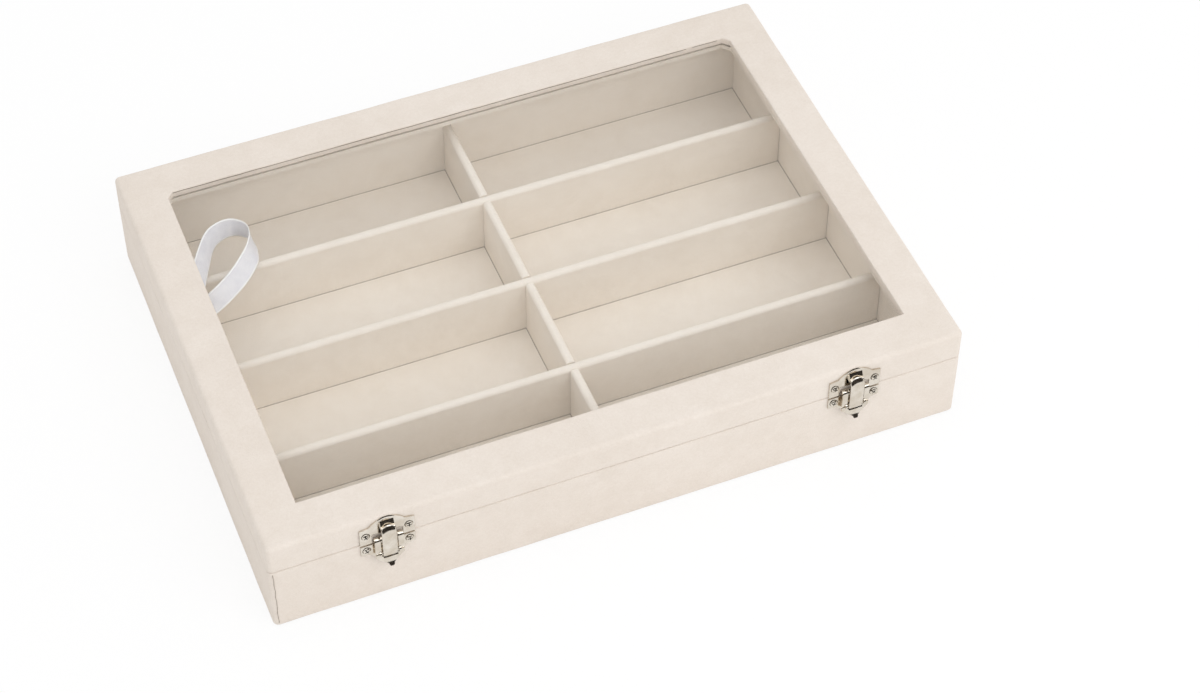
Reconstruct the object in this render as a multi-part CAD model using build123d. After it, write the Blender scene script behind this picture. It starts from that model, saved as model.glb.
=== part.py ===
from build123d import *
from math import atan2, cos, degrees, radians, sin, sqrt
import os

# A lidded sunglasses tray: velvet over boards, eight compartments under a glass-topped lid.
# The origin is the centre of the underside, X runs along the long side, and -Y is the front.

# Case, outside
case_width = 337.8
case_depth = 243.8
case_height = 55.9
base_height = 38.9
seam_gap = 0.4
corner_radius = 2.6
lid_edge_radius = 2.0
soft_edge_bevel = 0.4

# Boards and their velvet covering
cover = 0.6
wall = 6.0
bottom_board_thickness = 3.0
underside_thickness = 0.4
underside_inset = 2.0
turn_in = 12.0

# Window in the lid
window_border = 20.8
window_corner_cut = 3.0
flange_thickness = 3.0
glass_thickness = 2.0
glass_overlap = 6.0
glass_clearance = 0.3
retainer_thickness = 2.5
retainer_setback = 1.0

# Lining and floor
floor_card_thickness = 0.8
side_liner = 4.0
end_liner = 1.8
liner_drop = 0.9

# Dividers, halved into each other
divider_thickness = 4.4
divider_round = 1.6
divider_pitch = 58.0
divider_drop = 2.4
divider_end_gap = 0.3
halving_clearance = 0.1

# Screws
screw_head_radius = 1.8
screw_head_height = 0.9
screw_head_top_radius = 1.1
screw_shank_radius = 0.8
screw_length = 5.5
screw_clearance = 0.08

# Hinges, on the back
hinge_offset = 110.0
hinge_width = 30.0
hinge_leaf_height = 12.0
hinge_sheet = 0.8
hinge_knuckle_radius = 1.7
hinge_pin_radius = 0.8
hinge_knuckles = 5
hinge_clearance = 0.25
hinge_screw_spacing = 18.0
hinge_screw_v = 7.2
hinge_corner_radius = 1.5
pin_fit = 0.05

# Latches, on the front: u runs across, v up from the seam, d out from the case
latch_offset = 113.6
latch_sheet = 0.8
latch_half_width = 12.8
latch_screw_u = 10.05
plate_side_radius = 1.0
strike_bottom = 0.5
strike_shoulder = 10.6
strike_shoulder_rise = 0.8
strike_arch_half = 8.4
strike_arch_top = 15.7
strike_notch_half = 7.4
strike_notch_top = 6.0
strike_screw_v = 6.2
bead_radius = 0.9
bead_half_width = 3.2
bead_v = 10.3
bead_d = 2.4
nose_top = 13.9
nose_bottom = 8.6
base_plate_top = -0.6
base_plate_shoulder = -6.8
base_plate_arch_bottom = -11.2
base_screw_v = -3.7
tongue_half_width = 3.9
tongue_gap = 0.2
knuckle_radius = 1.5
knuckle_v = 2.6
lever_pin_radius = 0.7
lever_half_width = 6.75
lever_end_gap = 0.2
lever_slot_bottom = -8.2
lever_beak_root = -8.8
beak_drop = 5.4
beak_reach = 2.2
beak_tip_half = 1.3
draw_pin_radius = 0.6
draw_pin_v = -6.0
draw_pin_inset = 0.3
draw_eye_radius = 1.5
draw_half_width = 3.5
draw_gap = 0.4
ear_thickness = 1.0
ear_radius = 1.3
curl_clearance = 0.3

# Ribbon stay, from the left liner to the lid's left wall
ribbon_width = 10.0
ribbon_thickness = 0.4
ribbon_seat = 0.1

# Places worked out from the sizes
half_width = case_width / 2
half_depth = case_depth / 2
seam_z = base_height + seam_gap / 2
lid_bottom = base_height + seam_gap
inner_x = half_width - cover - wall
inner_y = half_depth - cover - wall
liner_x = inner_x - side_liner
liner_y = inner_y - end_liner
board_bottom = underside_thickness + cover
floor_board_top = board_bottom + bottom_board_thickness
floor_top = floor_board_top + floor_card_thickness
rim_board_top = base_height - cover
liner_top = base_height - liner_drop
divider_top = base_height - divider_drop
lid_board_bottom = lid_bottom + cover
lid_board_top = case_height - cover
flange_bottom = lid_board_top - flange_thickness
glass_bottom = flange_bottom - glass_thickness
retainer_bottom = glass_bottom - retainer_thickness
board_bevel = max(0.6 * (lid_edge_radius - cover), 0.1)
window_x = half_width - window_border
window_y = half_depth - window_border
knuckle_d = tongue_gap + knuckle_radius
lever_face_d = knuckle_d + knuckle_radius
draw_face_d = lever_face_d + draw_gap
draw_pin_d = lever_face_d - draw_pin_inset
curl_inner_radius = bead_radius + curl_clearance
curl_outer_radius = curl_inner_radius + latch_sheet
hinge_axis_d = hinge_knuckle_radius + 0.1
sides = {"left": -1, "right": 1}


def slab(sketch, bottom, top):
    return extrude(Pos(0, 0, bottom) * sketch, top - bottom, dir=(0, 0, 1))


def box_between(low, high):
    size = [b - a for a, b in zip(low, high)]
    middle = [(a + b) / 2 for a, b in zip(low, high)]
    return Pos(*middle) * Box(*size)


def outline(inset):
    radius = max(corner_radius - inset, 0.2)
    return RectangleRounded(case_width - 2 * inset, case_depth - 2 * inset, radius)


def bevelled_block(inset, bottom, top, top_bevel, bottom_bevel):
    block = slab(outline(inset), bottom, top)
    block = chamfer(block.edges().group_by(Axis.Z)[-1], top_bevel)
    return chamfer(block.edges().group_by(Axis.Z)[0], bottom_bevel)


def window(grow):
    x = window_x + grow
    y = window_y + grow
    cut = window_corner_cut + grow * (2 - sqrt(2))
    corners = [(-x, -y), (x, -y), (x, y - cut), (x - cut, y), (cut - x, y), (-x, y - cut)]
    return Polygon(*corners, align=None)


# Planes on the case's front and back, with their origin on the seam
def front_face(x):
    return Plane(origin=(x, -half_depth, seam_z), x_dir=(1, 0, 0), z_dir=(0, -1, 0))


def back_face(x):
    return Plane(origin=(x, half_depth, seam_z), x_dir=(-1, 0, 0), z_dir=(0, 1, 0))


# A side profile in (d, v), stretched across from one u to another
def across(profile, u_from, u_to):
    side = Plane(origin=(u_to, 0, 0), x_dir=(0, 0, 1), z_dir=(-1, 0, 0))
    return extrude(side * profile, u_to - u_from, dir=(-1, 0, 0))


def rod(d, v, radius, u_from, u_to):
    return across(Pos(d, v) * Circle(radius), u_from, u_to)


# Screws, seated on a plate of the given thickness
def screw(u, v, plate):
    low_centre = (Align.CENTER, Align.CENTER, Align.MIN)
    head = Cone(screw_head_radius, screw_head_top_radius, screw_head_height, align=low_centre)
    shank = Pos(0, 0, -screw_length / 2) * Cylinder(screw_shank_radius, screw_length)
    return Pos(u, v, plate) * (head + shank)


def screw_hole(u, v, plate):
    length = screw_length + 2 * screw_clearance
    drill = Cylinder(screw_shank_radius + screw_clearance, length)
    return Pos(u, v, plate - length / 2 + screw_clearance) * drill


def placed(planes, places, make, plate):
    return [plane.location * make(u, v, plate) for plane in planes for u, v in places]


front_planes = [front_face(side * latch_offset) for side in sides.values()]
back_planes = [back_face(side * hinge_offset) for side in sides.values()]
strike_places = [(side * latch_screw_u, strike_screw_v) for side in sides.values()]
base_plate_places = [(side * latch_screw_u, base_screw_v) for side in sides.values()]
hinge_lid_places = [(side * hinge_screw_spacing / 2, hinge_screw_v) for side in sides.values()]
hinge_base_places = [(u, -v) for u, v in hinge_lid_places]
base_holes = placed(front_planes, base_plate_places, screw_hole, latch_sheet)
base_holes += placed(back_planes, hinge_base_places, screw_hole, hinge_sheet)
lid_holes = placed(front_planes, strike_places, screw_hole, latch_sheet)
lid_holes += placed(back_planes, hinge_lid_places, screw_hole, hinge_sheet)


# Base: boards, the velvet round them and the sheet underneath
def make_base():
    well = Rectangle(2 * inner_x, 2 * inner_y)
    boards = slab(outline(cover), floor_board_top, rim_board_top) - slab(well, floor_board_top, rim_board_top)
    boards -= base_holes
    skin = bevelled_block(0, underside_thickness, base_height, soft_edge_bevel, soft_edge_bevel)
    skin -= slab(outline(cover), board_bottom, rim_board_top)
    skin -= slab(well, rim_board_top, base_height)
    opening = Rectangle(case_width - 2 * turn_in, case_depth - 2 * turn_in)
    skin -= slab(opening, underside_thickness, board_bottom)
    sheet = Rectangle(case_width - 2 * underside_inset, case_depth - 2 * underside_inset)
    front_zone = box_between((-half_width, -half_depth, 0), (half_width, -inner_y, base_height))
    left_zone = box_between((-half_width, -inner_y, 0), (-inner_x, inner_y, base_height))
    return {
        "underside_sheet": slab(sheet, 0, underside_thickness),
        "bottom_board": slab(outline(cover), board_bottom, floor_board_top),
        "base_board_front": boards & front_zone,
        "base_board_back": boards & mirror(front_zone, Plane.XZ),
        "base_board_left": boards & left_zone,
        "base_board_right": boards & mirror(left_zone, Plane.YZ),
        "base_cover": skin - base_holes,
    }


# Lining: a floor card, with four padded liners standing on it
def make_lining():
    end = box_between((-inner_x, -inner_y, floor_top), (inner_x, -liner_y, liner_top))
    side = box_between((-inner_x, -liner_y, floor_top), (-liner_x, liner_y, liner_top))
    return {
        "floor_card": slab(Rectangle(2 * inner_x, 2 * inner_y), floor_board_top, floor_top),
        "liner_front": end,
        "liner_back": mirror(end, Plane.XZ),
        "liner_left": side,
        "liner_right": mirror(side, Plane.YZ),
    }


# Dividers: the centre one is slotted from above, the cross ones from below
def divider_blank(length):
    section = Rectangle(divider_thickness, divider_top - floor_top, align=(Align.CENTER, Align.MIN))
    section = fillet(section.vertices().group_by(Axis.Y)[-1], divider_round)
    bar = extrude(Plane.XZ * section, length / 2, both=True)
    return Pos(0, 0, floor_top) * bar


def make_dividers():
    middle_z = (floor_top + divider_top) / 2
    slot = divider_thickness + 2 * halving_clearance
    centre = divider_blank(2 * (liner_y - divider_end_gap))
    cross = Rot(0, 0, 90) * divider_blank(2 * (liner_x - divider_end_gap))
    low = (-slot / 2, -slot / 2, floor_top)
    cross -= box_between(low, (slot / 2, slot / 2, middle_z + halving_clearance))
    pieces = {}
    for name, row in {"front": -1, "middle": 0, "back": 1}.items():
        y = row * divider_pitch
        low = (-slot / 2, y - slot / 2, middle_z)
        centre -= box_between(low, (slot / 2, y + slot / 2, divider_top))
        pieces[f"divider_{name}"] = Pos(0, y, 0) * cross
    pieces["divider_center"] = centre
    return pieces


# Lid: four mitred rails with a wall and a flange, under one velvet skin
def mitre_zone(length, depth):
    reach = window_border + glass_overlap + wall
    inner_length = length - reach
    inner_depth = depth - reach
    corners = [(-length, -depth), (length, -depth)]
    corners += [(inner_length, -inner_depth), (-inner_length, -inner_depth)]
    return slab(Polygon(*corners, align=None), lid_bottom, case_height)


def mitred(ring, name):
    long_zone = mitre_zone(half_width, half_depth)
    short_zone = Rot(0, 0, -90) * mitre_zone(half_depth, half_width)
    zones = {
        "front": long_zone,
        "back": mirror(long_zone, Plane.XZ),
        "left": short_zone,
        "right": mirror(short_zone, Plane.YZ),
    }
    return {f"{name}_{side}": ring & zone for side, zone in zones.items()}


def make_lid():
    recess = Rectangle(2 * inner_x, 2 * inner_y)
    blank = slab(outline(cover), lid_board_bottom, lid_board_top)
    blank = chamfer(blank.edges().group_by(Axis.Z)[-1], board_bevel)
    rails = blank - slab(recess, lid_board_bottom, flange_bottom)
    rails -= slab(window(cover), flange_bottom, lid_board_top)
    skin = slab(outline(0), lid_bottom, case_height)
    skin = fillet(skin.edges().group_by(Axis.Z)[-1], lid_edge_radius)
    skin = chamfer(skin.edges().group_by(Axis.Z)[0], soft_edge_bevel)
    skin -= blank
    skin -= slab(recess, lid_bottom, lid_board_bottom)
    skin -= slab(window(0), lid_board_top, case_height)
    skin += slab(window(cover), flange_bottom, lid_board_top) - slab(window(0), flange_bottom, lid_board_top)
    glass_x = window_x + glass_overlap
    glass_y = window_y + glass_overlap
    glass_room = Rectangle(2 * (glass_x + glass_clearance), 2 * (glass_y + glass_clearance))
    retainer = slab(recess, retainer_bottom, flange_bottom)
    retainer -= slab(glass_room, glass_bottom, flange_bottom)
    retainer -= slab(window(retainer_setback), retainer_bottom, glass_bottom)
    pieces = mitred(rails - lid_holes, "lid_rail") | mitred(retainer, "glass_retainer")
    pieces["window_glass"] = slab(Rectangle(2 * glass_x, 2 * glass_y), glass_bottom, flange_bottom)
    pieces["lid_cover"] = skin - lid_holes
    return pieces


# Hinges: two leaves with interleaved knuckles on one pin
def hinge_leaf(lower):
    direction = -1 if lower else 1
    centre_v = direction * hinge_leaf_height / 2
    sheet = Pos(0, centre_v) * RectangleRounded(hinge_width, hinge_leaf_height, hinge_corner_radius)
    leaf = extrude(sheet, hinge_sheet)
    pitch = hinge_width / hinge_knuckles
    for number in range(hinge_knuckles):
        start = -hinge_width / 2 + number * pitch
        own = (number % 2 == 0) == lower
        if own:
            low = start + hinge_clearance / 2
            leaf += rod(hinge_axis_d, 0, hinge_knuckle_radius, low, start + pitch - hinge_clearance / 2)
    for number in range(hinge_knuckles):
        start = -hinge_width / 2 + number * pitch
        own = (number % 2 == 0) == lower
        if not own:
            low = start - hinge_clearance / 2
            room = hinge_knuckle_radius + hinge_clearance
            leaf -= rod(hinge_axis_d, 0, room, low, start + pitch + hinge_clearance / 2)
    leaf -= rod(hinge_axis_d, 0, hinge_pin_radius + pin_fit, -hinge_width, hinge_width)
    return leaf


def make_hinges():
    lower = hinge_leaf(True) - [screw_hole(u, v, hinge_sheet) for u, v in hinge_base_places]
    upper = hinge_leaf(False) - [screw_hole(u, v, hinge_sheet) for u, v in hinge_lid_places]
    pin = rod(hinge_axis_d, 0, hinge_pin_radius, -hinge_width / 2, hinge_width / 2)
    pieces = {}
    for name, side in sides.items():
        place = back_face(side * hinge_offset).location
        pieces[f"hinge_base_leaf_{name}"] = place * lower
        pieces[f"hinge_lid_leaf_{name}"] = place * upper
        pieces[f"hinge_pin_{name}"] = place * pin
    pieces["hinge_base_screws"] = Compound(placed(back_planes, hinge_base_places, screw, hinge_sheet))
    pieces["hinge_lid_screws"] = Compound(placed(back_planes, hinge_lid_places, screw, hinge_sheet))
    return pieces


# Latch plates: an ogee outline, with a straight edge towards the seam
def ogee_plate(edge_v, shoulder_v, rise, arch_v):
    join_v = shoulder_v + rise
    left = [(-latch_half_width, edge_v), (-latch_half_width, shoulder_v), (-strike_arch_half, join_v)]
    right = [(-u, v) for u, v in reversed(left)]
    border = Polyline(*left) + ThreePointArc(left[-1], (0, arch_v), right[0])
    border += Polyline(*right) + Line(right[-1], left[0])
    face = make_face(border)
    joints = face.vertices().filter_by(lambda corner: abs(abs(corner.X) - strike_arch_half) < 0.01)
    return extrude(fillet(joints, plate_side_radius), latch_sheet, dir=(0, 0, 1))


# The strike plate on the lid, with a notch for the lever and a nose that the hook holds
def make_strike_plate():
    plate = ogee_plate(strike_bottom, strike_shoulder, strike_shoulder_rise, strike_arch_top)
    low = (-strike_notch_half, strike_bottom, 0)
    plate -= box_between(low, (strike_notch_half, strike_notch_top, latch_sheet))
    foot = latch_sheet / 2
    nose = [(foot, nose_bottom), (latch_sheet, nose_bottom), (bead_d, bead_v - bead_radius)]
    nose += [(bead_d, bead_v), (bead_d - 0.5 * bead_radius, bead_v + bead_radius * cos(radians(30)))]
    nose += [(latch_sheet, nose_top), (foot, nose_top)]
    plate += across(Polygon(*nose, align=None), -bead_half_width, bead_half_width)
    plate += rod(bead_d, bead_v, bead_radius, -bead_half_width, bead_half_width)
    return plate - [screw_hole(u, v, latch_sheet) for u, v in strike_places]


# The base plate, with a tongue that rises past the seam to the lever's pivot
def make_base_plate():
    plate = ogee_plate(base_plate_top, base_plate_shoulder, -strike_shoulder_rise, base_plate_arch_bottom)
    bend = base_plate_top - latch_sheet
    inner = [(0, bend - latch_sheet), (0, bend), (tongue_gap, base_plate_top), (tongue_gap, knuckle_v)]
    outer = [(d + latch_sheet, v) for d, v in reversed(inner)]
    plate += across(Polygon(*inner, *outer, align=None), -tongue_half_width, tongue_half_width)
    plate += rod(knuckle_d, knuckle_v, knuckle_radius, -tongue_half_width, tongue_half_width)
    plate -= rod(knuckle_d, knuckle_v, lever_pin_radius + pin_fit, -lever_half_width, lever_half_width)
    return plate - [screw_hole(u, v, latch_sheet) for u, v in base_plate_places]


# The lever: two barrels on the pivot, a slot for the draw plate, and a beak to lift by
def make_lever():
    half_turn = atan2(beak_reach, beak_drop)
    turn = degrees(2 * half_turn)
    radius = beak_drop / sin(2 * half_turn)
    outer_radius = radius - latch_sheet / 2
    back_d = lever_face_d - latch_sheet
    centre = (lever_face_d + outer_radius, lever_beak_root)
    front_arc = CenterArc(centre, outer_radius, 180, turn)
    back_arc = CenterArc(centre, outer_radius + latch_sheet, 180, turn)
    border = Polyline(back_arc @ 0, (back_d, knuckle_v), (lever_face_d, knuckle_v), front_arc @ 0)
    border += front_arc + Line(front_arc @ 1, back_arc @ 1) + back_arc
    lever = across(make_face(border), -lever_half_width, lever_half_width)
    tip_v = lever_beak_root - beak_drop
    waist = (0.5 * (lever_half_width + beak_tip_half) - 0.6, 0.5 * (lever_beak_root + tip_v))
    right = ThreePointArc((lever_half_width, lever_beak_root), waist, (beak_tip_half, tip_v + beak_tip_half))
    left = mirror(right, Plane.YZ)
    tip = ThreePointArc(right @ 1, (0, tip_v), left @ 1)
    top_v = knuckle_v + knuckle_radius
    frame = Polyline(right @ 0, (lever_half_width, top_v), (-lever_half_width, top_v), left @ 0)
    front = make_face(right + tip + left + frame)
    lever &= extrude(front, lever_face_d + 2 * beak_reach, dir=(0, 0, 1))
    slot_half = tongue_half_width + lever_end_gap
    barrel = rod(knuckle_d, knuckle_v, knuckle_radius, slot_half, lever_half_width)
    ear = rod(draw_pin_d, draw_pin_v, ear_radius, slot_half, slot_half + ear_thickness)
    low = (-slot_half, lever_slot_bottom, 0)
    lever -= box_between(low, (slot_half, top_v, 2 * lever_face_d))
    for piece in (barrel, ear):
        lever += piece
        lever += mirror(piece, Plane.YZ)
    lever -= rod(knuckle_d, knuckle_v, lever_pin_radius + pin_fit, -lever_half_width, lever_half_width)
    return lever - rod(draw_pin_d, draw_pin_v, draw_pin_radius + pin_fit, -lever_half_width, lever_half_width)


# The draw plate: an eye on the lever's pin, a flat strap and a curl over the bead
def make_draw_plate():
    strap = [(draw_face_d, draw_pin_v), (draw_face_d + latch_sheet, draw_pin_v)]
    strap += [(draw_face_d + latch_sheet, bead_v), (draw_face_d, bead_v)]
    centre = (draw_face_d - curl_inner_radius, bead_v)
    ring = Pos(*centre) * (Circle(curl_outer_radius) - Circle(curl_inner_radius))
    quarter = Pos(*centre) * Rectangle(curl_outer_radius, curl_outer_radius, align=(Align.MIN, Align.MIN))
    profile = Polygon(*strap, align=None) + (ring & quarter)
    plate = across(profile, -draw_half_width, draw_half_width)
    plate += rod(draw_pin_d, draw_pin_v, draw_eye_radius, -draw_half_width, draw_half_width)
    return plate - rod(draw_pin_d, draw_pin_v, draw_pin_radius + pin_fit, -draw_half_width, draw_half_width)


def make_latches():
    pin_half = lever_half_width + pin_fit
    draw_pin_half = tongue_half_width + lever_end_gap + ear_thickness
    models = {
        "latch_strike_plate": make_strike_plate(),
        "latch_base_plate": make_base_plate(),
        "latch_lever": make_lever(),
        "latch_draw_plate": make_draw_plate(),
        "latch_lever_pin": rod(knuckle_d, knuckle_v, lever_pin_radius, -pin_half, pin_half),
        "latch_draw_pin": rod(draw_pin_d, draw_pin_v, draw_pin_radius, -draw_pin_half, draw_pin_half),
    }
    pieces = {}
    for name, side in sides.items():
        place = front_face(side * latch_offset).location
        for model_name, model in models.items():
            pieces[f"{model_name}_{name}"] = place * model
    pieces["latch_strike_screws"] = Compound(placed(front_planes, strike_places, screw, latch_sheet))
    pieces["latch_base_screws"] = Compound(placed(front_planes, base_plate_places, screw, latch_sheet))
    return pieces


# Ribbon stay: a flat strip that loops in over the back divider while the lid is shut.
# Each point is (inward from the liner, back from the middle of the back divider, height),
# with heights as a share of the way from the divider's top to the glass.
def make_ribbon():
    lean = Vector(0.5, -0.7, -0.5).normalized()
    flat = Vector(0, -1, 0)
    off_wall = ribbon_seat + ribbon_thickness / 2
    to_lid_wall = off_wall - side_liner
    route = [
        ((off_wall, -16, -0.75), flat),
        ((off_wall, -16, -0.45), flat),
        ((4.3, -16, -0.25), flat + lean),
        ((13.8, -13.2, -0.1), lean),
        ((29.8, -6.5, 0.25), lean),
        ((38.3, -0.1, 0.47), lean),
        ((42, 6.8, 0.58), lean),
        ((41.9, 13, 0.68), lean),
        ((35.1, 17.8, 0.73), lean),
        ((27.7, 17, 0.73), lean),
        ((20.3, 11, 0.71), lean),
        ((14.3, 1.5, 0.66), lean + flat),
        ((9.3, -8.5, 0.54), flat),
        ((1.3, -13, 0.42), flat),
        ((to_lid_wall, -13, 0.51), flat),
        ((to_lid_wall, -13, 0.73), flat),
    ]
    rise = glass_bottom - divider_top
    points = [Vector(-liner_x + x, divider_pitch + y, divider_top + z * rise) for (x, y, z), _ in route]
    sections = []
    for number, (_, width_way) in enumerate(route):
        before = points[max(number - 1, 0)]
        after = points[min(number + 1, len(points) - 1)]
        along = (after - before).normalized()
        width = (width_way - along * width_way.dot(along)).normalized()
        plane = Plane(origin=points[number], x_dir=width, z_dir=along)
        sections.append(plane * Rectangle(ribbon_width, ribbon_thickness))
    return {"ribbon_stay": loft(sections, ruled=True)}


def main():
    os.makedirs("parts", exist_ok=True)
    pieces = make_base() | make_lining() | make_dividers() | make_lid()
    pieces |= make_hinges() | make_latches() | make_ribbon()
    for name, piece in pieces.items():
        export_step(piece, f"parts/{name}.step")
    print(len(pieces), "pieces written")


main()
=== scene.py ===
import math

import bmesh
import bpy
from mathutils import Matrix, Vector, noise


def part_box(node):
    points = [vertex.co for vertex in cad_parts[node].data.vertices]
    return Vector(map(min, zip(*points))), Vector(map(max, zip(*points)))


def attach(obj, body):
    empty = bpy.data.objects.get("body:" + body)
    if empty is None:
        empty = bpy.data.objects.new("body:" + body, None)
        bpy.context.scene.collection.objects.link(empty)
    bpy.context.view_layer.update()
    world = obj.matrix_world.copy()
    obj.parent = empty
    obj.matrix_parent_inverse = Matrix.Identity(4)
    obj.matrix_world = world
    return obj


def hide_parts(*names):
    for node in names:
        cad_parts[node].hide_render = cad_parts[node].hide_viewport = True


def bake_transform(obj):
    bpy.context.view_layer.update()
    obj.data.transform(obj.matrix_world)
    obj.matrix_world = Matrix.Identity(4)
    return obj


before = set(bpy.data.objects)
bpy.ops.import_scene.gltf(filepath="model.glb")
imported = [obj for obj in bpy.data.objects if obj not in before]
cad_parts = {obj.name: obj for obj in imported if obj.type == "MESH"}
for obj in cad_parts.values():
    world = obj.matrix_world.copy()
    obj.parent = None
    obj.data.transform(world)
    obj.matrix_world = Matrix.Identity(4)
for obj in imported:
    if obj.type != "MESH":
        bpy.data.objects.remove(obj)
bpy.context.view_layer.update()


# Boards: the base's walls and bottom are medium-density fibreboard, sawn to size and glued
# at the corners. They stay hidden under cloth, apart from slivers at the rim.
mm = 0.001


def linear(hex_colour):
    parts = [int(hex_colour[i:i + 2], 16) / 255 for i in (1, 3, 5)]
    return [c / 12.92 if c <= 0.04045 else ((c + 0.055) / 1.055) ** 2.4 for c in parts] + [1.0]


# A node's inputs: another node's output is linked, and a plain value is set
def plug(tree, node, inputs):
    for name, value in inputs.items():
        if isinstance(value, bpy.types.NodeSocket):
            tree.links.new(value, node.inputs[name])
        else:
            node.inputs[name].default_value = value


# A new node. The stops are a colour ramp's positions and colours.
def add(tree, kind, inputs=None, stops=(), **settings):
    node = tree.nodes.new(kind)
    for name, value in settings.items():
        setattr(node, name, value)
    plug(tree, node, inputs or {})
    for number, (position, hex_colour) in enumerate(stops):
        node.color_ramp.elements[number].position = position
        node.color_ramp.elements[number].color = linear(hex_colour)
    return node


def new_material(name):
    material = bpy.data.materials.new(name)
    material.use_nodes = True
    tree = material.node_tree
    return material, tree, tree.nodes["Principled BSDF"]


# Raw fibreboard: matt and brown, with wood dust specks about 0.7 mm across
def fibreboard():
    material, tree, shader = new_material("raw_fibreboard")
    where = add(tree, "ShaderNodeTexCoord").outputs["Object"]
    dust = {"Vector": where, "Scale": 1 / (0.7 * mm), "Detail": 5, "Roughness": 0.7}
    speck = add(tree, "ShaderNodeTexNoise", dust).outputs["Fac"]
    browns = ((0.3, "#97805c"), (0.7, "#b59a73"))
    colour = add(tree, "ShaderNodeValToRGB", {"Fac": speck}, browns).outputs["Color"]
    grain = {"Height": speck, "Strength": 0.3, "Distance": 0.2 * mm}
    relief = add(tree, "ShaderNodeBump", grain).outputs[0]
    plug(tree, shader, {"Base Color": colour, "Normal": relief, "Roughness": 0.85})
    return material


def dress(prefixes, material):
    for name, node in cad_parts.items():
        if name.startswith(prefixes):
            node.data.materials.clear()
            node.data.materials.append(material)


dress(("base_board", "bottom_board"), fibreboard())


# Underside sheet: a plain woven backing cloth, glued over the turned-in velvet. It is matt and
# shows only when the case is turned over. Its threads are drawn 0.75 mm apart, coarser than
# real ones, so that they show.
def backing_cloth():
    material, tree, shader = new_material("woven_backing_cloth")
    where = add(tree, "ShaderNodeTexCoord").outputs["Object"]
    threads = {"Vector": where, "Scale": 420.0, "Distortion": 0.6}
    weft = add(tree, "ShaderNodeTexWave", threads, bands_direction="X").outputs["Fac"]
    warp = add(tree, "ShaderNodeTexWave", threads, bands_direction="Y").outputs["Fac"]
    weave = add(tree, "ShaderNodeMath", {0: weft, 1: warp}, operation="MULTIPLY").outputs[0]
    tans = ((0.1, "#b3a594"), (0.9, "#cdbfae"))
    colour = add(tree, "ShaderNodeValToRGB", {"Fac": weave}, tans).outputs["Color"]
    grain = {"Height": weave, "Strength": 0.4, "Distance": 0.2 * mm}
    relief = add(tree, "ShaderNodeBump", grain).outputs[0]
    plug(tree, shader, {"Base Color": colour, "Normal": relief, "Roughness": 0.9})
    return material


dress(("underside_sheet",), backing_cloth())


# Velvet cover of the base: one strip of short-pile velvet, glued round the walls, over the
# rim and under the bottom. Wrapped by hand, so that it is never quite flat.
cloth_thickness = 0.45 * mm
corner_radius = 2.6 * mm
wrap_unevenness = 0.16 * mm
wrap_wave = 22 * mm
wrap_cuts = (48, 34, 5)
fold_band = 1.6 * mm
fold_radius = 0.35 * mm
bead_start = 0.2 * mm
bead_end = 0.8 * mm
bead_rise = 0.12 * mm
# Without a seed of its own, the wrap's unevenness would differ from run to run
noise.seed_set(9)


# Velvet: matt, with a soft sheen at a flat angle. The pile lies in brushed patches, and its
# tufts are drawn 0.5 mm and 1.6 mm across, coarser than real pile, so that they show.
def velvet(name, light, body, dark, patch, strength):
    material, tree, shader = new_material(name)
    where = add(tree, "ShaderNodeTexCoord").outputs["Object"]
    # Each layer's size, detail and roughness, where it turns dark and light, and its share
    layers = (
        (patch, 6, 0.62, 0.36, 0.66, strength),
        (patch / 8, 4, 0.6, 0.4, 0.62, strength * 0.4),
        (1.6 * mm, 3, 0.7, 0.35, 0.65, 0.16),
        (0.5 * mm, 2, 0.7, 0.35, 0.65, 0.16),
    )
    colour = linear(body)
    clouds = []
    for size, detail, roughness, low, high, share in layers:
        cloud = {"Vector": where, "Scale": 1 / size, "Detail": detail, "Roughness": roughness}
        clouds.append(add(tree, "ShaderNodeTexNoise", cloud).outputs["Fac"])
        stops = ((low, dark), (high, light))
        shade = add(tree, "ShaderNodeValToRGB", {"Fac": clouds[-1]}, stops).outputs["Color"]
        inputs = {0: share, 6: colour, 7: shade}
        colour = add(tree, "ShaderNodeMix", inputs, data_type="RGBA").outputs[2]
    naps, tufts = clouds[2:]
    height = add(tree, "ShaderNodeMath", {0: tufts, 1: naps}, operation="ADD").outputs[0]
    pile = {"Height": height, "Strength": 0.35, "Distance": 0.3 * mm}
    relief = add(tree, "ShaderNodeBump", pile).outputs[0]
    plug(tree, shader, {"Base Color": colour, "Normal": relief, "Roughness": 0.92})
    plug(tree, shader, {"Specular IOR Level": 0.15, "Sheen Weight": 0.3})
    plug(tree, shader, {"Sheen Roughness": 0.45, "Sheen Tint": linear("#fff6ea")})
    return material


def corners(node):
    return [Vector(corner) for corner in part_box(node)]


def near(value, other):
    return abs(value - other) < 0.001 * mm


def level_with(edge, height):
    return all(near(vert.co.z, height) for vert in edge.verts)


def cut_across(bm, point, normal):
    everything = bm.verts[:] + bm.edges[:] + bm.faces[:]
    bmesh.ops.bisect_plane(bm, geom=everything, dist=0.0001 * mm, plane_co=point, plane_no=normal)


def rounded(bm, edges, radius, steps):
    bmesh.ops.bevel(bm, geom=edges, offset=radius, segments=steps, profile=0.5, affect="EDGES", material=-1)


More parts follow.
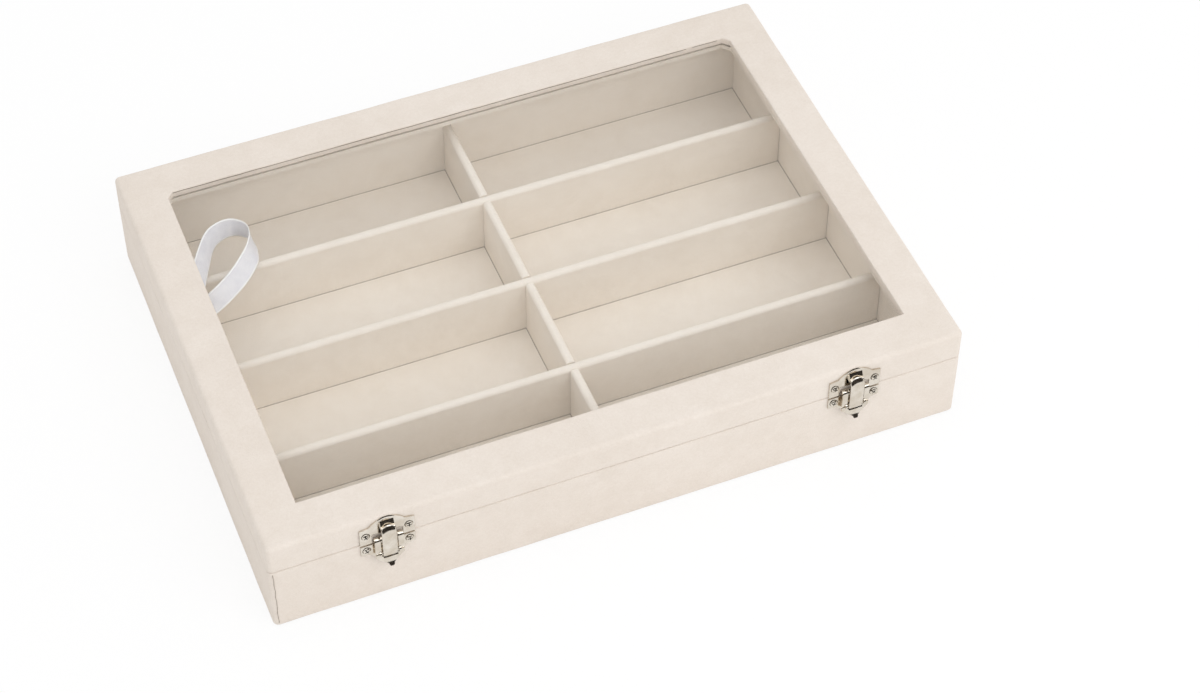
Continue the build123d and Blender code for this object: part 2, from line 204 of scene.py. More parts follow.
# A mouth in a shell's flat side. Its back corners may be cut, and its cloth may be turned in
# over the edge, where it stands up in a low bead beside the fold.
def open_mouth(bm, height, half_x, half_y, back_cut=0.0, turned_in=0.0):
    for reach in (0, fold_band):
        for sign in (-1, 1):
            cut_across(bm, (sign * (half_x + reach), 0, 0), (1, 0, 0))
            cut_across(bm, (0, sign * (half_y + reach), 0), (0, 1, 0))
    if back_cut:
        for sign in (-1, 1):
            cut_across(bm, (sign * half_x, half_y - back_cut, 0), (sign, 1, 0))
    mouth = []
    for face in bm.faces:
        middle = face.calc_center_median()
        inside = abs(middle.x) < half_x and abs(middle.y) < half_y
        past_cut = back_cut and abs(middle.x) + middle.y > half_x + half_y - back_cut
        if near(middle.z, height) and inside and not past_cut:
            mouth.append(face)
    bmesh.ops.delete(bm, geom=mouth, context="FACES")
    if not turned_in:
        return
    rim = [edge for edge in bm.edges if edge.is_boundary and level_with(edge, height)]
    grown = bmesh.ops.extrude_edge_only(bm, edges=rim)["geom"]
    turned = [item for item in grown if isinstance(item, bmesh.types.BMVert)]
    bmesh.ops.translate(bm, vec=(0, 0, -turned_in), verts=turned)
    rounded(bm, [edge for edge in rim if edge.is_valid], fold_radius, 3)
    for vert in bm.verts:
        past = max(abs(vert.co.x) - half_x, abs(vert.co.y) - half_y)
        if vert.co.z > height - 0.05 * mm and bead_start < past < bead_end:
            vert.co.z += bead_rise


# Cloth shell: a box with rounded corners and edges, open where the mouths are
def cloth_shell(low, high, top_radius, bottom_radius, mouths, wave_start):
    bm = bmesh.new()
    place = Matrix.Translation((low + high) / 2) @ Matrix.Diagonal((*(high - low), 1))
    bmesh.ops.create_cube(bm, size=1, matrix=place)
    upright = [edge for edge in bm.edges if not near(edge.verts[0].co.z, edge.verts[1].co.z)]
    rounded(bm, upright, corner_radius, 6)
    for height, radius in ((high.z, top_radius), (low.z, bottom_radius)):
        rounded(bm, [edge for edge in bm.edges if level_with(edge, height)], radius, 5)
    for mouth in mouths:
        open_mouth(bm, **mouth)
    for axis, count in enumerate(wrap_cuts):
        normal = Vector([float(axis == k) for k in range(3)])
        for step in range(1, count):
            cut_across(bm, low + (high - low) * (step / count), normal)
    bmesh.ops.remove_doubles(bm, verts=bm.verts, dist=0.002 * mm)
    for vert in bm.verts:
        wave = noise.noise_vector(vert.co / wrap_wave + Vector((wave_start, 0, 0)))
        vert.co += wave * wrap_unevenness
    return bm


def mesh_of(bm, name, smooth=True):
    bmesh.ops.recalc_face_normals(bm, faces=bm.faces)
    mesh = bpy.data.meshes.new(name)
    bm.to_mesh(mesh)
    bm.free()
    for face in mesh.polygons:
        face.use_smooth = smooth
    return mesh


def new_object(name, mesh, material=None):
    if material:
        mesh.materials.append(material)
    item = bpy.data.objects.new(name, mesh)
    bpy.context.scene.collection.objects.link(item)
    return item


def new_piece(name, bm, material, body=None, smooth=True):
    piece = new_object(name, mesh_of(bm, name, smooth), material)
    if body:
        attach(piece, body)
    return piece


def thicken(piece, thickness, offset=-1.0):
    layer = piece.modifiers.new("thickness", "SOLIDIFY")
    layer.thickness = thickness
    layer.offset = offset


velvet_outside = velvet("cream_velvet", "#f1e9e1", "#e9dfd5", "#d7cbbe", 90 * mm, 0.28)
rim_width = 7 * mm
hem_width = 12 * mm
base_edge_radius = 0.9 * mm
base_low, base_high = corners("base_cover")
base_rim = dict(height=base_high.z, half_x=base_high.x - rim_width, half_y=base_high.y - rim_width,
                turned_in=1.6 * mm)
base_under = dict(height=base_low.z, half_x=base_high.x - hem_width, half_y=base_high.y - hem_width)
base_shell = cloth_shell(base_low, base_high, base_edge_radius, base_edge_radius,
                         [base_rim, base_under], 9.0)
base_velvet = new_piece("base_velvet", base_shell, velvet_outside, "base")
thicken(base_velvet, cloth_thickness)
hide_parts("base_cover")


# Corner seam: at the front left corner the strip's end laps over its start, and the cut edge
# shows as a thin dark line. It runs a little crooked, because it was cut by hand.
def corner_seam():
    width, depth, inward = 0.14 * mm, 0.5 * mm, 2.2 * mm
    low_z, high_z = base_low.z + 2 * mm, base_high.z - 1 * mm
    wander, wander_wave, steps = 0.5 * mm, 4 * mm, 24
    middle = Vector((base_low.x + inward, base_low.y, (low_z + high_z) / 2))
    place = Matrix.Translation(middle) @ Matrix.Diagonal((width, depth, high_z - low_z, 1))
    bm = bmesh.new()
    bmesh.ops.create_cube(bm, size=1, matrix=place)
    for step in range(1, steps):
        cut_across(bm, (0, 0, low_z + (high_z - low_z) * step / steps), (0, 0, 1))
    for vert in bm.verts:
        vert.co.x += noise.noise(Vector((0, inward / mm, vert.co.z / wander_wave))) * wander
    new_piece("corner_seam_base", bm, cut_edge_and_painted_shade, "base")


# The velvet's cut edge shows its darker backing at the corner seam. The same dark velvet is painted
# shade in the floor gaps and the window crease.
cut_edge_and_painted_shade = velvet("velvet_cut_edge_and_painted_shade", "#a89c8f", "#8f8376", "#6d6358", 8 * mm, 0.3)
corner_seam()


# Lining: the floor card, four liners and the halved dividers are card and board wrapped in the same
# velvet, so that their edges are soft. They are pushed in, and fine gaps stay dark. Their copy of the
# velvet is painted lighter than the outside one: painted light that makes up for the dimmer light
# inside the case.
velvet_inside_painted_lighter = velvet("cream_velvet_lining_painted_lighter", "#faf4ec", "#f4ece1", "#e3d8ca", 60 * mm, 0.3)


# Edges rounded over. A solid's loose triangles are joined first.
def soften(prefixes, radius):
    for name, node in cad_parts.items():
        if name.startswith(prefixes):
            node.modifiers.new("joined", "WELD").merge_threshold = 0.002 * mm
            edge = node.modifiers.new("soft_edges", "BEVEL")
            edge.width = radius
            edge.segments = 3
            edge.limit_method = "ANGLE"
            edge.angle_limit = math.radians(35)


dress(("floor_card", "liner", "divider"), velvet_inside_painted_lighter)
soften(("divider",), 0.9 * mm)
soften(("floor_card", "liner"), 0.5 * mm)


# Floor gap shade: the velvet on the floor card ends at each wall. Thin strips of the dark velvet lie
# there as painted shade, a thin dark line at the foot of the wall where the gap falls into shade.
def floor_gap_painted_shade():
    gap_width, gap_height = 0.3 * mm, 0.1 * mm
    floor_top = corners("floor_card")[1].z
    left, right = corners("liner_left")[1].x, corners("liner_right")[0].x
    front, back = corners("liner_front")[1].y, corners("liner_back")[0].y
    lines = [((left, right), (back, back))]
    for name in ("divider_back", "divider_middle", "divider_front"):
        face = corners(name)[0].y
        lines.append(((left, right), (face, face)))
    for face in (right, corners("divider_center")[0].x):
        lines.append(((face, face), (front, back)))
    bm = bmesh.new()
    for (x1, x2), (y1, y2) in lines:
        middle_x = (x1 + x2) / 2 - gap_width * (x1 == x2) / 2
        middle_y = (y1 + y2) / 2 - gap_width * (y1 == y2) / 2
        size = (max(x2 - x1, gap_width), max(y2 - y1, gap_width), gap_height, 1)
        place = Matrix.Translation((middle_x, middle_y, floor_top)) @ Matrix.Diagonal(size)
        bmesh.ops.create_cube(bm, size=1, matrix=place)
    new_piece("floor_gap_painted_shade", bm, cut_edge_and_painted_shade, "base", smooth=False)


floor_gap_painted_shade()


# Ribbon stay: 10 mm white satin ribbon, glued to the left liner and to the lid's left wall.
# It holds the open lid, and with the lid shut its slack stands up in a loop.
ribbon_width = 10 * mm
ribbon_thickness = 0.3 * mm
ribbon_bow = 0.15 * mm


# Satin: smooth white threads about 0.13 mm apart give a silky gloss with faint slubs, and the ribbon
# is whiter in a narrow band along each side.
def satin():
    material, tree, shader = new_material("white_satin_ribbon")
    across = add(tree, "ShaderNodeAttribute", attribute_name="across").outputs["Fac"]
    turns = {0: across, 1: 500.0}
    threads = add(tree, "ShaderNodeMath", turns, operation="MULTIPLY").outputs[0]
    wave = add(tree, "ShaderNodeMath", {0: threads}, operation="SINE").outputs[0]
    where = add(tree, "ShaderNodeTexCoord").outputs["Object"]
    slubs = {"Vector": where, "Scale": 1 / (4 * mm), "Detail": 3, "Roughness": 0.6}
    slub = add(tree, "ShaderNodeTexNoise", slubs).outputs["Fac"]
    whites = ((0.3, "#e0e0e7"), (0.7, "#ededf1"))
    weave = add(tree, "ShaderNodeValToRGB", {"Fac": slub}, whites).outputs["Color"]
    off_middle = add(tree, "ShaderNodeMath", {0: across, 1: 0.5}, operation="SUBTRACT").outputs[0]
    side = add(tree, "ShaderNodeMath", {0: off_middle}, operation="ABSOLUTE").outputs[0]
    whiter_sides = add(tree, "ShaderNodeMath", {0: side, 1: 0.43}, operation="GREATER_THAN").outputs[0]
    inputs = {0: whiter_sides, 6: weave, 7: linear("#ffffff")}
    colour = add(tree, "ShaderNodeMix", inputs, data_type="RGBA").outputs[2]
    height = add(tree, "ShaderNodeMath", {0: wave, 1: slub}, operation="ADD").outputs[0]
    grain = {"Height": height, "Strength": 0.15, "Distance": 0.05 * mm}
    relief = add(tree, "ShaderNodeBump", grain).outputs[0]
    plug(tree, shader, {"Base Color": colour, "Normal": relief, "Roughness": 0.3, "Anisotropic": 0.5})
    return material


# Which way the ribbon's width points: along the wall, leaning forward and down, or nearly upright
along_wall = Vector((0, -1, 0))
leaning = Vector((0.44, -0.75, -0.51))
upright = Vector((0.14, -0.3, -0.94))

# The line of the ribbon's middle, from the liner to the lid: millimetres inward from the liner,
# millimetres back from the back divider, and a share of the height from its top to the glass
off_wall = 0.3
liner_high = corners("liner_left")[1]
divider_low, divider_high = corners("divider_back")
glass_low, glass_high = corners("window_glass")
lid_wall = (corners("glass_retainer_left")[0].x - liner_high.x) / mm + off_wall
ribbon_route = [
    ((off_wall, -17, -0.75), along_wall),
    ((off_wall, -17, -0.45), along_wall),
    ((4.5, -17.5, -0.2), along_wall + leaning),
    ((13.3, -16.6, 0.0), leaning),
    ((27.5, -9.5, 0.27), leaning + 0.15 * upright),
    ((37.4, -1.2, 0.49), leaning + 0.7 * upright),
    ((41.2, 5.9, 0.57), 0.35 * leaning + upright),
    ((42, 12.3, 0.6), upright),
    ((39.9, 16.9, 0.6), upright),
    ((34.8, 20.3, 0.6), upright),
    ((28.2, 19.6, 0.6), upright + 0.1 * leaning),
    ((21.9, 15.0, 0.6), upright + 0.3 * leaning),
    ((15.2, 3.8, 0.57), upright + leaning),
    ((10.5, -5, 0.51), upright + leaning + 0.3 * along_wall),
    ((5.5, -10.5, 0.46), leaning + along_wall),
    ((1.3, -13, 0.44), along_wall),
    ((lid_wall, -13, 0.53), along_wall),
    ((lid_wall, -13, 0.73), along_wall),
]


# A smooth value through given ones: share 0 is the first and 1 the last
def along(values, share):
    reach = share * (len(values) - 1)
    first = min(int(reach), len(values) - 2)
    t = reach - first
    a, b, c, d = [values[min(max(first + k, 0), len(values) - 1)] for k in (-1, 0, 1, 2)]
    first_part = 2 * b + (c - a) * t
    square_part = (2 * a - 5 * b + 4 * c - d) * t * t
    cubic_part = (3 * b - a - 3 * c + d) * t ** 3
    return 0.5 * (first_part + square_part + cubic_part)


def make_ribbon():
    rise = glass_low.z - divider_high.z
    start = Vector((liner_high.x, (divider_low.y + divider_high.y) / 2, divider_high.z))
    places = [start + Vector((x * mm, y * mm, z * rise)) for (x, y, z), _ in ribbon_route]
    facings = [facing.normalized() for _, facing in ribbon_route]
    steps = 144
    line = [along(places, k / steps) for k in range(steps + 1)]
    bm = bmesh.new()
    bmesh.ops.create_grid(bm, x_segments=steps, y_segments=12, size=0.5)
    share_across = bm.verts.layers.float.new("across")
    for vert in bm.verts:
        step = round((vert.co.x + 0.5) * steps)
        across = vert.co.y + 0.5
        forward = (line[min(step + 1, steps)] - line[max(step - 1, 0)]).normalized()
        facing = along(facings, step / steps)
        facing = (facing - forward * facing.dot(forward)).normalized()
        lift = forward.cross(facing) * ribbon_bow * math.cos((across - 0.5) * math.pi)
        vert[share_across] = across
        vert.co = line[step] + facing * ribbon_width * (across - 0.5) + lift
    ribbon = new_piece("satin_ribbon", bm, satin())
    thicken(ribbon, ribbon_thickness, 0)
    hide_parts("ribbon_stay")
    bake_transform(ribbon)


make_ribbon()


# Lid: a mitred frame of board, wrapped in the same velvet outside and lined inside. The cloth is
# turned in over the window's edge, where it stands up in a thin bead, and cut at the back corners.
# The lid's rails and glass retainers take the lining's copy of the velvet, painted lighter as painted light
dress(("lid_rail", "glass_retainer"), velvet_inside_painted_lighter)
lid_low, lid_high = corners("lid_cover")
bead_room = 0.05 * mm
glass_overlap = 6 * mm
lid_top_radius = 2.2 * mm
lid_rim_radius = 0.7 * mm
lid_top = Vector((lid_high.x, lid_high.y, lid_high.z - bead_room))
lid_window = dict(height=lid_top.z, half_x=glass_high.x - glass_overlap,
                  half_y=glass_high.y - glass_overlap, back_cut=3 * mm, turned_in=3.5 * mm)
lid_under = dict(height=lid_low.z, half_x=lid_high.x - rim_width, half_y=lid_high.y - rim_width)
lid_shell = cloth_shell(lid_low, lid_top, lid_top_radius, lid_rim_radius, [lid_window, lid_under], 3.0)
lid_velvet = new_piece("lid_velvet", lid_shell, velvet_outside, "lid")
thicken(lid_velvet, cloth_thickness)
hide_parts("lid_cover")


# Window crease shade: along the window's back edge the turned-in cloth folds under the bead. A thin
# strip of the dark velvet lies in the fold as painted shade, a thin dark line between the bead and
# the band below it.
def window_crease_painted_shade():
    width, height, depth = 0.12 * mm, 0.4 * mm, 0.75 * mm
    wander, wander_wave, steps = 0.25 * mm, 9 * mm, 60
    length = 2 * (lid_window["half_x"] - lid_window["back_cut"])
    middle = Vector((0, lid_window["half_y"], lid_high.z - depth))
    place = Matrix.Translation(middle) @ Matrix.Diagonal((length, width, height, 1))
    bm = bmesh.new()
    bmesh.ops.create_cube(bm, size=1, matrix=place)
    for step in range(1, steps):
        cut_across(bm, (length * (step / steps - 0.5), 0, 0), (1, 0, 0))
    for vert in bm.verts:
        vert.co.z += noise.noise(Vector((vert.co.x / wander_wave, 0, 0))) * wander
    new_piece("window_crease_painted_shade", bm, cut_edge_and_painted_shade, "lid")


window_crease_painted_shade()


# Window glass: 2 mm float glass, clear and flat. It lets nearly all light through, and keeps
# only a thin veil and a weak reflection with faint wipe marks.
def float_glass():
    material, tree, shader = new_material("clear_float_glass")
    where = add(tree, "ShaderNodeTexCoord").outputs["Object"]
    wiped = add(tree, "ShaderNodeMapping", {"Vector": where, "Scale": (1, 4, 1)}).outputs[0]
    wipes = {"Vector": wiped, "Scale": 1 / (60 * mm), "Detail": 3, "Roughness": 0.6}
    wipe = add(tree, "ShaderNodeTexNoise", wipes).outputs["Fac"]
    veil = ((0.3, "#e9e6e0"), (0.7, "#f4f2ee"))
    colour = add(tree, "ShaderNodeValToRGB", {"Fac": wipe}, veil).outputs["Color"]
    smears = {"Value": wipe, "To Min": 0.03, "To Max": 0.08}
    roughness = add(tree, "ShaderNodeMapRange", smears).outputs[0]
    plug(tree, shader, {"Base Color": colour, "Roughness": roughness, "Alpha": 0.06})
    return material


dress(("window_glass",), float_glass())


# Hinges and draw latches: thin stamped steel with nickel plating. The plating is a warm mirror,
# a little dulled by wear and by fine rubs. The press rolls their edges over, so that they catch
# thin dark and light lines.
def nickel():
    material, tree, shader = new_material("nickel_plated_steel")
    where = add(tree, "ShaderNodeTexCoord").outputs["Object"]
    rubbed = add(tree, "ShaderNodeMapping", {"Vector": where, "Scale": (1, 1, 6)}).outputs[0]
    rubs = {"Vector": rubbed, "Scale": 1 / (1.1 * mm), "Detail": 4, "Roughness": 0.6}
    rub = add(tree, "ShaderNodeTexNoise", rubs).outputs["Fac"]
    patches = {"Vector": where, "Scale": 1 / (6 * mm), "Detail": 3, "Roughness": 0.5}
    worn = add(tree, "ShaderNodeTexNoise", patches).outputs["Fac"]
    greys = ((0.35, "#d0c6b7"), (0.7, "#e2dbd0"))
    colour = add(tree, "ShaderNodeValToRGB", {"Fac": worn}, greys).outputs["Color"]
    roughness = add(tree, "ShaderNodeMapRange", {"Value": rub, "To Min": 0.06, "To Max": 0.2}).outputs[0]
    dents = {"Height": worn, "Strength": 0.25, "Distance": 0.1 * mm}
    relief = add(tree, "ShaderNodeBump", dents).outputs[0]
    plug(tree, shader, {"Base Color": colour, "Normal": relief, "Roughness": roughness, "Metallic": 1.0})
    return material


plated = nickel()
dress(("hinge", "latch"), plated)
soften(("hinge_base_leaf", "hinge_lid_leaf", "latch_strike_plate", "latch_base_plate"), 0.2 * mm)
soften(("latch_lever_left", "latch_lever_right"), 0.2 * mm)


# Draw plate: a stamped pad with an eye rolled round its pin. Its top is drawn into a dome,
# which hooks back over the bead of the strike plate.
def make_draw_pad(side):
    low, high = corners(f"latch_draw_plate_{side}")
    middle_x, half = (low.x + high.x) / 2, (high.x - low.x) / 2
    metal, edge_roll = 0.55 * mm, 0.3 * mm
    pad_end, dome_start = seam_z - 7.2 * mm, seam_z + 6.6 * mm
    dome_rise, dome_depth = high.z - dome_start, 2.1 * mm
    dome_turn, shoulder_drop = math.radians(84), 0.34
    eye_radius, eye_inward, eye_below_seam = 1.45 * mm, 1.5 * mm, 6 * mm
    eye_length = 2 * half * 0.98
    bm = bmesh.new()
    bmesh.ops.create_grid(bm, x_segments=16, y_segments=40, size=0.5)
    for vert in bm.verts:
        across, up = 2 * vert.co.x, vert.co.y + 0.5
        if up < 0.5:
            z, inward = pad_end + (dome_start - pad_end) * 2 * up, 0
        else:
            turn = dome_turn * (2 * up - 1)
            z, inward = dome_start + dome_rise * math.sin(turn), dome_depth * (1 - math.cos(turn))
        rolled = across ** 4 * edge_roll
        drop = across ** 2 * max(0, z - dome_start) * shoulder_drop
        vert.co = Vector((middle_x + across * half, low.y + inward + rolled, z - drop))
    bm.normal_update()
    bmesh.ops.solidify(bm, geom=bm.faces[:], thickness=metal)
    place = Matrix.Translation((middle_x, low.y + eye_inward, seam_z - eye_below_seam))
    turned = Matrix.Rotation(math.radians(90), 4, "Y")
    bmesh.ops.create_cone(bm, cap_ends=True, segments=32, radius1=eye_radius, radius2=eye_radius,
                          depth=eye_length, matrix=place @ turned)
    pad = new_piece(f"draw_pad_{side}", bm, plated, f"draw_{side}")
    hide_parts(f"latch_draw_plate_{side}")


seam_z = (base_high.z + lid_low.z) / 2
for side in ("left", "right"):
    make_draw_pad(side)


# Lever thumb: under the draw plate, the lever's beak starts in a raised half-round lip, pressed
# from the same steel. A finger pulls there to open the latch.
def make_lever_thumb(side):
    pad_low, pad_high = corners(f"latch_draw_plate_{side}")
    half, drop = (pad_high.x - pad_low.x) / 2 * 0.98, 1.9 * mm
    proud, lip_slope = 1.0 * mm, 0.13
    sunk, beak_slope = 0.2 * mm, 0.407
    root_out, root_below_seam, rim_radius = 3.2 * mm, 8.3 * mm, 0.25 * mm
    bm = bmesh.new()
    bmesh.ops.create_circle(bm, cap_ends=True, segments=48, radius=1)
    everything = bm.verts[:] + bm.edges[:] + bm.faces[:]
    bmesh.ops.bisect_plane(bm, geom=everything, plane_co=(0, 0, 0), plane_no=(0, 1, 0), clear_outer=True)
    bmesh.ops.scale(bm, vec=(half, drop, 1), verts=bm.verts)
    top = bmesh.ops.extrude_face_region(bm, geom=bm.faces[:], use_keep_orig=True)["geom"]
    raised = {item for item in top if isinstance(item, bmesh.types.BMVert)}
    for vert in bm.verts:
        down = -vert.co.y
        vert.co.z = proud + down * lip_slope if vert in raised else down * beak_slope - sunk
    rim = [edge for edge in bm.edges if all(vert in raised for vert in edge.verts)]
    rounded(bm, rim, rim_radius, 3)
    middle_x = (pad_low.x + pad_high.x) / 2
    root = Vector((middle_x, base_low.y - root_out, seam_z - root_below_seam))
    place = Matrix.Translation(root) @ Matrix.Rotation(math.radians(90), 4, "X")
    bmesh.ops.transform(bm, matrix=place, verts=bm.verts)
    new_piece(f"lever_thumb_{side}", bm, plated, f"lever_{side}")


for side in ("left", "right"):
    make_lever_thumb(side)


# Screws: small nickel-plated pan heads with a cross recess. Each stopped at its own turn when
# it was driven home through the plate's hole.
head_radius = 1.8 * mm
head_height = 0.95 * mm
head_flank = 0.2 * mm
seat_depth = 0.9 * mm
hole_radius = head_radius * 1.14
hole_rim = 0.03 * mm
hole_depth = 0.3 * mm
cross_length = 2.4 * mm
cross_width = 0.5 * mm
cross_depth = 0.5 * mm
first_turn = 28
next_turn = 67


# Unlit plating: the bottom of the cross recess and of the hole round the head, which light
# hardly reaches, so that they look dark and dull
def unlit_plating():
    material, tree, shader = new_material("unlit_plating")
    where = add(tree, "ShaderNodeTexCoord").outputs["Object"]
    patches = {"Vector": where, "Scale": 1 / (2 * mm), "Detail": 3, "Roughness": 0.5}
    worn = add(tree, "ShaderNodeTexNoise", patches).outputs["Fac"]
    browns = ((0.3, "#3d352d"), (0.7, "#6b6156"))
    colour = add(tree, "ShaderNodeValToRGB", {"Fac": worn}, browns).outputs["Color"]
    plug(tree, shader, {"Base Color": colour, "Roughness": 0.6, "Metallic": 0.4})
    return material


def screw_head():
    profile = [(0, -hole_depth), (hole_radius, -hole_depth), (hole_radius, hole_rim)]
    profile += [(head_radius, hole_rim), (head_radius, head_flank)]
    for degrees in (25, 45, 65, 80):
        turn = math.radians(degrees)
        rise = (head_height - head_flank) * math.sin(turn)
        profile.append((head_radius * math.cos(turn), head_flank + rise))
    profile.append((0, head_height))
    bm = bmesh.new()
    verts = [bm.verts.new((x, 0, z)) for x, z in profile]
    edges = [bm.edges.new(pair) for pair in zip(verts, verts[1:])]
    bmesh.ops.spin(bm, geom=verts + edges, cent=(0, 0, 0), axis=(0, 0, 1), angle=math.tau, steps=32,
                   use_merge=True)
    bmesh.ops.remove_doubles(bm, verts=bm.verts, dist=0.001 * mm)
    head = new_object("head", mesh_of(bm, "head"))
    cutters = []
    for size in ((cross_length, cross_width), (cross_width, cross_length)):
        bm = bmesh.new()
        place = Matrix.Translation((0, 0, head_height)) @ Matrix.Diagonal((*size, 2 * cross_depth, 1))
        bmesh.ops.create_cube(bm, size=1, matrix=place)
        cutters.append(new_object("cutter", mesh_of(bm, "cutter", False)))
        cut = head.modifiers.new("cross", "BOOLEAN")
        cut.object = cutters[-1]
        cut.operation = "DIFFERENCE"
        cut.solver = "EXACT"
    bpy.context.view_layer.update()
    mesh = bpy.data.meshes.new_from_object(head.evaluated_get(bpy.context.evaluated_depsgraph_get()))
    for extra in [head] + cutters:
        bpy.data.objects.remove(extra)
    margin = 0.01 * mm
    for face in mesh.polygons:
        x, y, z = face.center
        near_side, far_side = sorted((abs(x), abs(y)))
        in_cross = near_side < cross_width / 2 + margin and far_side < cross_length / 2 + margin
        face.material_index = int(in_cross or z < hole_rim + 2 * margin)
    return mesh


# The boxes of the separate screws in one node
def screw_boxes(node):
    bm = bmesh.new()
    bm.from_mesh(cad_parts[node].data)
    bmesh.ops.remove_doubles(bm, verts=bm.verts, dist=0.002 * mm)
    left, boxes = set(bm.verts), []
    while left:
        waiting, screw = [left.pop()], []
        while waiting:
            vert = waiting.pop()
            screw.append(vert.co.copy())
            joined = {edge.other_vert(vert) for edge in vert.link_edges} & left
            left -= joined
            waiting += joined
        low = Vector([min(point[k] for point in screw) for k in range(3)])
        high = Vector([max(point[k] for point in screw) for k in range(3)])
        boxes.append((low, high))
    bm.free()
    return sorted(boxes, key=lambda box: tuple(box[0]))


def make_screws(node, body, outward):
    bm = bmesh.new()
    for number, (low, high) in enumerate(screw_boxes(node)):
        tip = high.y if outward > 0 else low.y
        seat = Vector(((low.x + high.x) / 2, tip - outward * seat_depth, (low.z + high.z) / 2))
        turn = Matrix.Rotation(math.radians(-90 * outward), 4, "X")
        driven = Matrix.Rotation(math.radians(first_turn + next_turn * number), 4, "Z")
        known = set(bm.verts)
        bm.from_mesh(screw_mesh)
        fresh = [vert for vert in bm.verts if vert not in known]
        bmesh.ops.transform(bm, matrix=Matrix.Translation(seat) @ turn @ driven, verts=fresh)
    heads = new_piece(f"{node}_heads", bm, plated, body, smooth=False)
    heads.data.materials.append(shaded)
    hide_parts(node)


screw_mesh = screw_head()
shaded = unlit_plating()
make_screws("latch_strike_screws", "lid", -1)
make_screws("latch_base_screws", "base", -1)
make_screws("hinge_lid_screws", "lid", 1)
make_screws("hinge_base_screws", "base", 1)


# Studio floor: a wide white disc. It shows white to the camera and in the metal and glass, and
# keeps a trace of the case's shadow.
floor_radius = 6.0
white_share = 0.85


# Rays that see the white background: the camera's own, and those that metal and glass send on
def background_rays(tree):
    rays = add(tree, "ShaderNodeLightPath").outputs
    inputs = {0: rays["Is Camera Ray"], 1: rays["Is Glossy Ray"]}
    seen = add(tree, "ShaderNodeMath", inputs, operation="MAXIMUM").outputs[0]
    inputs = {0: seen, 1: rays["Is Transmission Ray"]}
    return add(tree, "ShaderNodeMath", inputs, operation="MAXIMUM").outputs[0]


# Studio white: matt paint, and for the background rays mostly its own even white
def studio_white():
    material, tree, shader = new_material("studio_white")
    where = add(tree, "ShaderNodeTexCoord").outputs["Object"]
    clouds = {"Vector": where, "Scale": 1 / (250 * mm), "Detail": 2, "Roughness": 0.5}
    cloud = add(tree, "ShaderNodeTexNoise", clouds).outputs["Fac"]
    whites = ((0, "#fafafa"), (1, "#ffffff"))
    colour = add(tree, "ShaderNodeValToRGB", {"Fac": cloud}, whites).outputs["Color"]
    plug(tree, shader, {"Base Color": colour, "Roughness": 0.9})
    inputs = {0: background_rays(tree), 1: white_share}
    share = add(tree, "ShaderNodeMath", inputs, operation="MULTIPLY").outputs[0]
    white = add(tree, "ShaderNodeEmission", {"Color": linear("#ffffff"), "Strength": 1.0}).outputs[0]
    inputs = {0: share, 1: shader.outputs[0], 2: white}
    both = add(tree, "ShaderNodeMixShader", inputs).outputs[0]
    plug(tree, tree.nodes["Material Output"], {"Surface": both})
    return material


def studio_floor():
    bm = bmesh.new()
    bmesh.ops.create_circle(bm, cap_ends=True, segments=64, radius=floor_radius)
    new_object("floor", mesh_of(bm, "floor", False), studio_white())


studio_floor()


# Studio room: an even pale room, which lights the left side a little less than the right.
# The background rays see it white.
def studio_room():
    world = bpy.data.worlds.new("studio")
    bpy.context.scene.world = world
    world.use_nodes = True
    tree = world.node_tree
    direction = add(tree, "ShaderNodeTexCoord").outputs["Generated"]
    way = add(tree, "ShaderNodeSeparateXYZ", {0: direction}).outputs["X"]
    from_left = add(tree, "ShaderNodeMapRange", {"Value": way, "From Min": -1.0}).outputs[0]
    greys = ((0, "#dedede"), (1, "#f3f3f3"))
    level = add(tree, "ShaderNodeValToRGB", {"Fac": from_left}, greys).outputs["Color"]
    inputs = {0: background_rays(tree), 6: level, 7: linear("#ffffff")}
    colour = add(tree, "ShaderNodeMix", inputs, data_type="RGBA").outputs[2]
    plug(tree, tree.nodes["Background"], {"Color": colour})


studio_room()


# Black flags: two cards of matt black paper, one overhead behind the case and one low in front
# of it, that the metal mirrors in its edges. They cast no shadow, and the camera doesn't see them.
def black_card():
    material, tree, shader = new_material("black_card")
    where = add(tree, "ShaderNodeTexCoord").outputs["Object"]
    fibres = {"Vector": where, "Scale": 1 / (20 * mm), "Detail": 2, "Roughness": 0.5}
    speck = add(tree, "ShaderNodeTexNoise", fibres).outputs["Fac"]
    blacks = ((0, "#2b2621"), (1, "#35302a"))
    colour = add(tree, "ShaderNodeValToRGB", {"Fac": speck}, blacks).outputs["Color"]
    plug(tree, shader, {"Base Color": colour, "Roughness": 0.9})
    return material


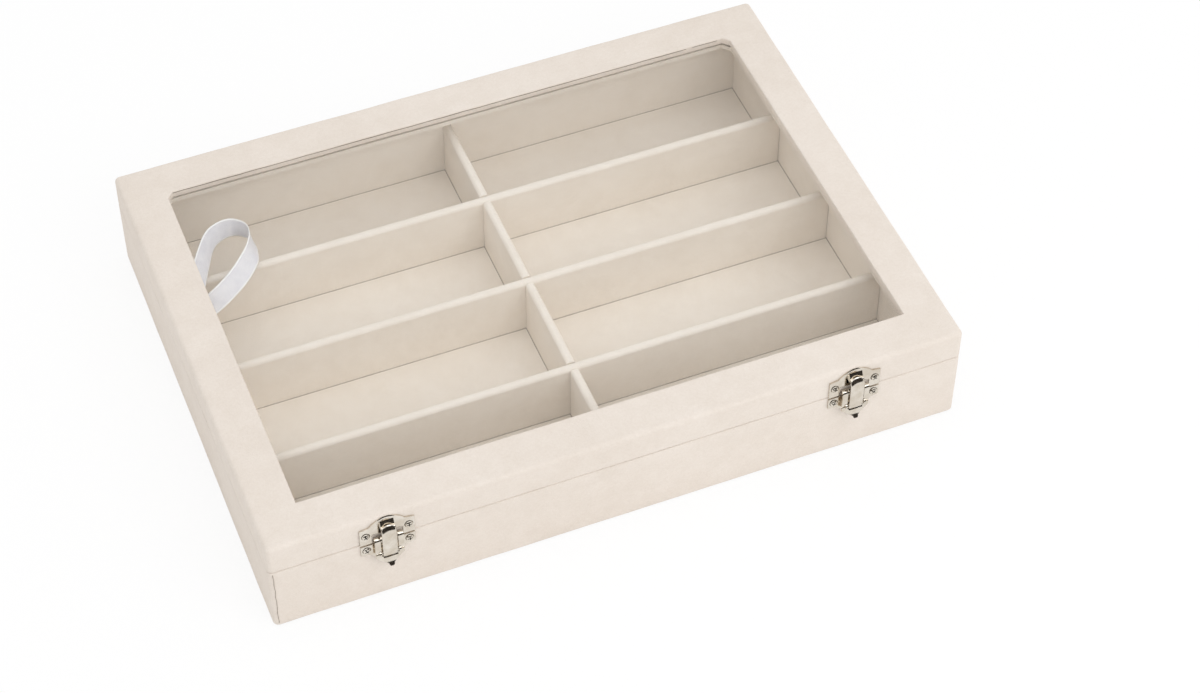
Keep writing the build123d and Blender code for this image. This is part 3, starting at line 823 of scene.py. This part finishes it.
def flag(name, middle, size, tilt, material):
    place = Matrix.Translation(middle) @ Matrix.Rotation(tilt, 4, "X") @ Matrix.Diagonal((*size, 1, 1))
    bm = bmesh.new()
    bmesh.ops.create_grid(bm, x_segments=1, y_segments=1, size=0.5, matrix=place)
    card = new_object(name, mesh_of(bm, name, False), material)
    card.visible_camera = False
    card.visible_diffuse = False
    card.visible_transmission = False
    card.visible_shadow = False


black = black_card()
flag("flag_overhead", (0.1, 0.85, 0.9), (1.6, 1.2), 0, black)
flag("flag_front", (0, -0.23, 0.065), (1.0, 0.13), math.radians(90), black)


# Lamps: two large soft boxes, a weak one overhead and a stronger one in front on the right.
# Both point at the case.
def soft_lamp(name, place, size, power):
    data = bpy.data.lights.new(name, "AREA")
    data.shape = "RECTANGLE"
    data.size, data.size_y = size
    data.energy = power
    lamp = new_object(name, data)
    lamp.location = place
    lamp.rotation_euler = (-Vector(place)).to_track_quat("-Z", "Y").to_euler()


soft_lamp("overhead", (-0.2, -0.1, 1.7), (1.2, 1.0), 3.2)
soft_lamp("front", (0.45, -1.15, 1.2), (1.2, 0.9), 5.8)


# Camera: fitted to the case's corners and its window in the photograph. Its focal length and
# the centre of its view are in pixels of the whole frame.
def make_camera():
    azimuth = math.radians(-20.936)
    elevation = math.radians(46.918)
    roll = math.radians(-0.692)
    distance = 1.4599
    target = Vector((0.03645, 0.06077, 0))
    width, height = 1200, 693
    focal, centre_x, centre_y = 2894.0, 553.09, 225.16
    level = math.cos(elevation)
    back = Vector((math.sin(azimuth) * level, -math.cos(azimuth) * level, math.sin(elevation)))
    right = Vector((math.cos(azimuth), math.sin(azimuth), 0))
    up = back.cross(right)
    right, up = right * math.cos(roll) + up * math.sin(roll), up * math.cos(roll) - right * math.sin(roll)
    data = bpy.data.cameras.new("camera")
    data.sensor_width = 36
    data.lens = focal / width * data.sensor_width
    data.shift_x = (width / 2 - centre_x) / width
    data.shift_y = (centre_y - height / 2) / width
    data.clip_start = 0.01
    camera = new_object("camera", data)
    turn = Matrix((right, up, back)).transposed()
    camera.matrix_world = Matrix.Translation(target + back * distance) @ turn.to_4x4()
    bpy.context.scene.camera = camera


make_camera()
bpy.context.scene.view_settings.view_transform = "Standard"
